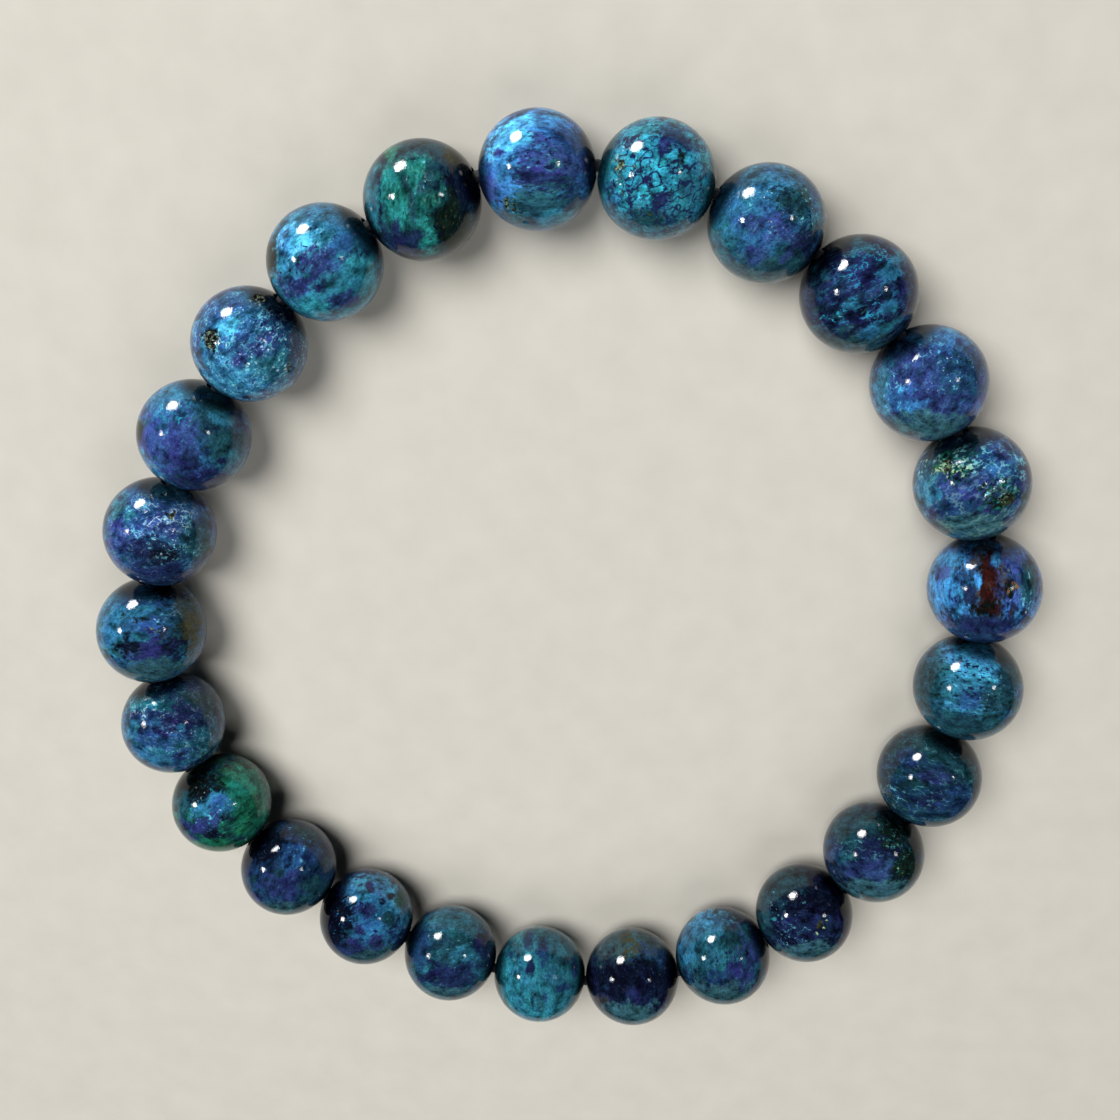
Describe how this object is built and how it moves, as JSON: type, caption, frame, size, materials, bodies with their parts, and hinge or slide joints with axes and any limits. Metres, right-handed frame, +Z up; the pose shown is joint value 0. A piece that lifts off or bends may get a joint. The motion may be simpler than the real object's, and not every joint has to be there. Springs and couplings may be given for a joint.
{
  "type": "chrysocolla bead bracelet",
  "caption": "Bracelet of round polished blue-green chrysocolla beads, strung touching on a closed elastic cord and lying flat in a ring.",
  "frame": {"origin": "middle of the ring's box, at the height of the surface that the beads rest on", "axes": "+Z up out of the surface, through the wrist opening; +Y towards the far side of the ring, which is the top of the picture; +X to the right"},
  "size_m": [0.0712, 0.0736, 0.008],
  "materials": {
    "azure_stone": "polished",
    "teal_stone": "polished",
    "indigo_stone": "polished",
    "navy_stone": "polished",
    "malachite_stone": "polished",
    "cord_elastic": "satin"
  },
  "bodies": {
    "root": {"bead_01": "azure_stone", "bead_02": "azure_stone", "bead_03": "indigo_stone", "bead_04": "navy_stone", "bead_05": "indigo_stone", "bead_06": "indigo_stone", "bead_07": "azure_stone", "bead_08": "azure_stone", "bead_09": "teal_stone", "bead_10": "navy_stone", "bead_11": "navy_stone", "bead_12": "teal_stone", "bead_13": "navy_stone", "bead_14": "teal_stone", "bead_15": "teal_stone", "bead_16": "azure_stone", "bead_17": "navy_stone", "bead_18": "malachite_stone", "bead_19": "indigo_stone", "bead_20": "azure_stone", "bead_21": "indigo_stone", "bead_22": "indigo_stone", "bead_23": "azure_stone", "bead_24": "azure_stone", "bead_25": "malachite_stone", "elastic_cord": "cord_elastic"}
  },
  "joints": []
}
